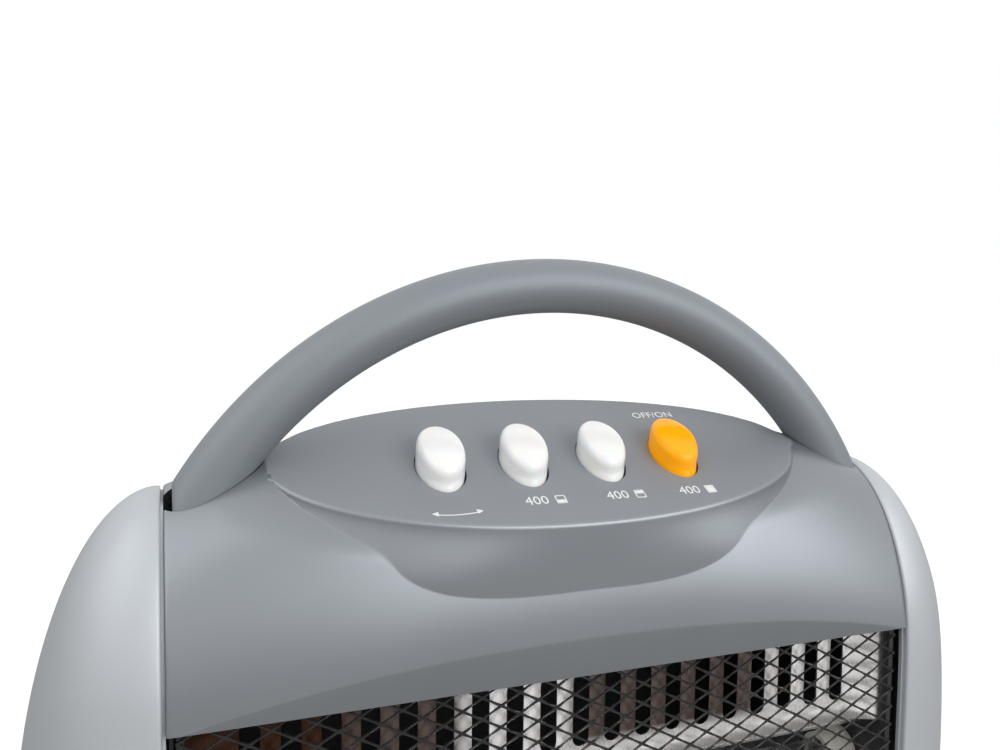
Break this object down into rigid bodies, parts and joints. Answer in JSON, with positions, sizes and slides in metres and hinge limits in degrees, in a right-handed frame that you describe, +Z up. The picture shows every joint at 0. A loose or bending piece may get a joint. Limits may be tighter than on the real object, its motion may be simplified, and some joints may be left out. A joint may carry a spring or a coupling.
{
  "type": "halogen heater",
  "caption": "Free-standing halogen heater with a carrying handle, rocker switches on a sloping panel, a mesh grille over quartz tubes and a foot that swings the head.",
  "frame": {"origin": "on the floor at the middle of the bounding box, on the swing axis of the head", "axes": "+Z up, the grille faces -Y, +X is to the right for someone who looks at the back"},
  "size_m": [0.3146, 0.2196, 0.3896],
  "materials": {
    "grey_body": "satin moulded plastic with a metallic grey paint",
    "silver_cover": "satin silver paint on moulded plastic",
    "polished_steel": "polished reflector sheet",
    "galvanised": "plain galvanised sheet",
    "black_steel": "black stove enamel",
    "black_plastic": "black moulded plastic",
    "white_cap": "glossy white rocker cap",
    "orange_cap": "translucent orange rocker cap",
    "quartz": "clear quartz",
    "tungsten": "dull tungsten wire",
    "ceramic": "unglazed white ceramic",
    "screw_steel": "zinc-plated screw steel",
    "brass": "plain brass",
    "rubber": "black rubber",
    "glow_lamp": "small glow lamp",
    "nylon": "natural nylon",
    "wire": "heat-proof wire sleeve"
  },
  "bodies": {
    "base": {"base_shell": "grey_body", "base_plate": "black_steel", "base_screws": "screw_steel", "rubber_feet": "rubber", "cord_bush": "rubber", "swing_motor": "galvanised", "motor_screws": "screw_steel", "glide_ring": "nylon", "tip_switch": "black_plastic", "tip_spring": "screw_steel"},
    "head": {"top_housing": "grey_body", "lower_housing": "grey_body", "rear_cover": "grey_body", "side_cover_left": "silver_cover", "side_cover_right": "silver_cover", "handle": "grey_body", "handle_screws": "screw_steel", "rear_screws": "screw_steel", "cover_screws": "screw_steel", "grille_mesh": "black_steel", "grille_frame": "black_steel", "reflector": "polished_steel", "side_plate_left": "black_steel", "side_plate_right": "black_steel", "heat_shield": "galvanised", "quartz_tube_top": "quartz", "quartz_tube_middle": "quartz", "quartz_tube_bottom": "quartz", "filament_top": "tungsten", "filament_middle": "tungsten", "filament_bottom": "tungsten", "ceramic_caps_top": "ceramic", "ceramic_caps_middle": "ceramic", "ceramic_caps_bottom": "ceramic", "cap_clips": "screw_steel", "swing_switch": "black_plastic", "heat_switch_1": "black_plastic", "heat_switch_2": "black_plastic", "power_switch": "black_plastic", "switch_tabs": "brass", "power_lamp": "glow_lamp", "terminal_block": "nylon", "thermal_cutout": "galvanised", "wire_loom_left": "wire", "wire_loom_right": "wire", "swivel_plate": "black_plastic", "swivel_screws": "screw_steel", "swing_arm": "galvanised", "arm_nut": "brass"},
    "crank": {"motor_crank": "nylon", "motor_shaft": "screw_steel"},
    "swing_rocker": {"swing_rocker": "white_cap"},
    "heat_rocker_1": {"heat_rocker_1": "white_cap"},
    "heat_rocker_2": {"heat_rocker_2": "white_cap"},
    "power_rocker": {"power_rocker": "orange_cap"},
    "tip_plunger": {"tip_plunger": "nylon"}
  },
  "joints": [
    {"name": "head_swing", "type": "hinge", "parent": "base", "child": "head", "pos_m": [0, 0, 0.045], "axis": [0, 0, 1], "range_deg": [-30, 30]},
    {"name": "crank_turn", "type": "hinge", "parent": "base", "child": "crank", "pos_m": [0, 0.026, 0.03], "axis": [0, 0, 1], "range_deg": [-100, 100]},
    {"name": "swing_rocker_press", "type": "hinge", "parent": "head", "child": "swing_rocker", "pos_m": [-0.04005, -0.01511, 0.32034], "axis": [1, 0, 0], "range_deg": [0, 12]},
    {"name": "heat_rocker_1_press", "type": "hinge", "parent": "head", "child": "heat_rocker_1", "pos_m": [-0.01335, -0.01511, 0.32034], "axis": [1, 0, 0], "range_deg": [0, 12]},
    {"name": "heat_rocker_2_press", "type": "hinge", "parent": "head", "child": "heat_rocker_2", "pos_m": [0.01335, -0.01511, 0.32034], "axis": [1, 0, 0], "range_deg": [0, 12]},
    {"name": "power_rocker_press", "type": "hinge", "parent": "head", "child": "power_rocker", "pos_m": [0.04005, -0.01511, 0.32034], "axis": [1, 0, 0], "range_deg": [0, 12]},
    {"name": "tip_plunger_slide", "type": "slide", "parent": "base", "child": "tip_plunger", "axis": [0, 0, 1], "range_m": [-0.004, 0], "stiffness_N_per_m": 60, "springref_m": -0.008, "deforming": ["tip_spring"]}
  ],
  "couplings": [
    {"joint": "crank_turn", "follows": "head_swing", "ratio": 3.3}
  ]
}
